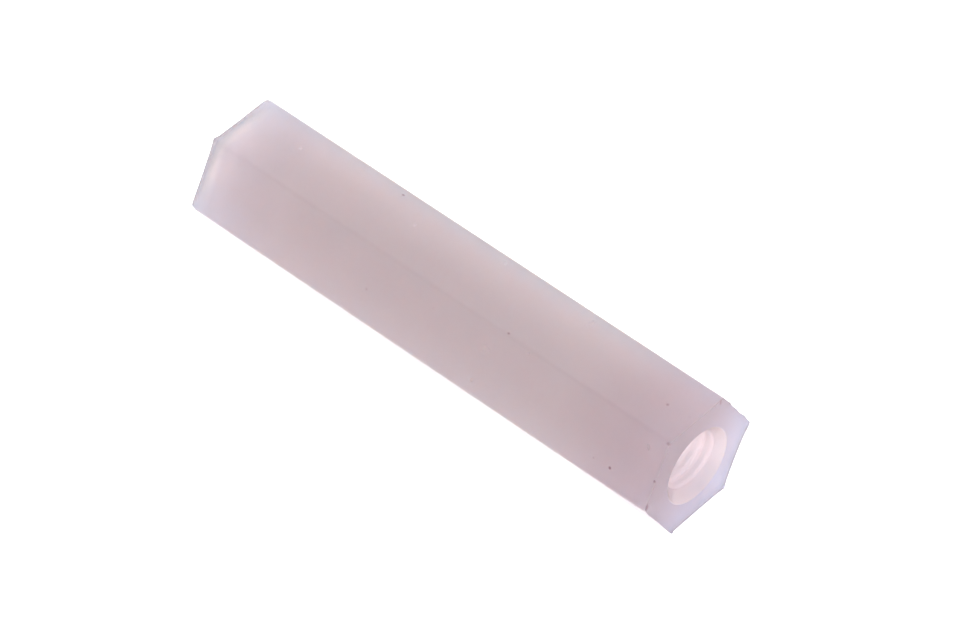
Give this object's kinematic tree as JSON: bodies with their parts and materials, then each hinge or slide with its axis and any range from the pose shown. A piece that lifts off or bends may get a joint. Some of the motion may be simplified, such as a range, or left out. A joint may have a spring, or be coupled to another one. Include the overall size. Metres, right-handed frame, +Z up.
{
  "type": "hex standoff",
  "caption": "Hexagonal plastic standoff with a threaded through bore and a countersink at each end, for spacing a board from a panel with a screw from each side.",
  "frame": {"origin": "centre of the flat that the standoff rests on, midway between its two end faces", "axes": "+X along the bore, towards one of the two like ends; +Z up, square to the flat it rests on; +Y across the corners"},
  "size_m": [0.025, 0.0062, 0.0055],
  "materials": {
    "nylon": "satin"
  },
  "bodies": {
    "root": {"hex_standoff": "nylon"}
  },
  "joints": []
}
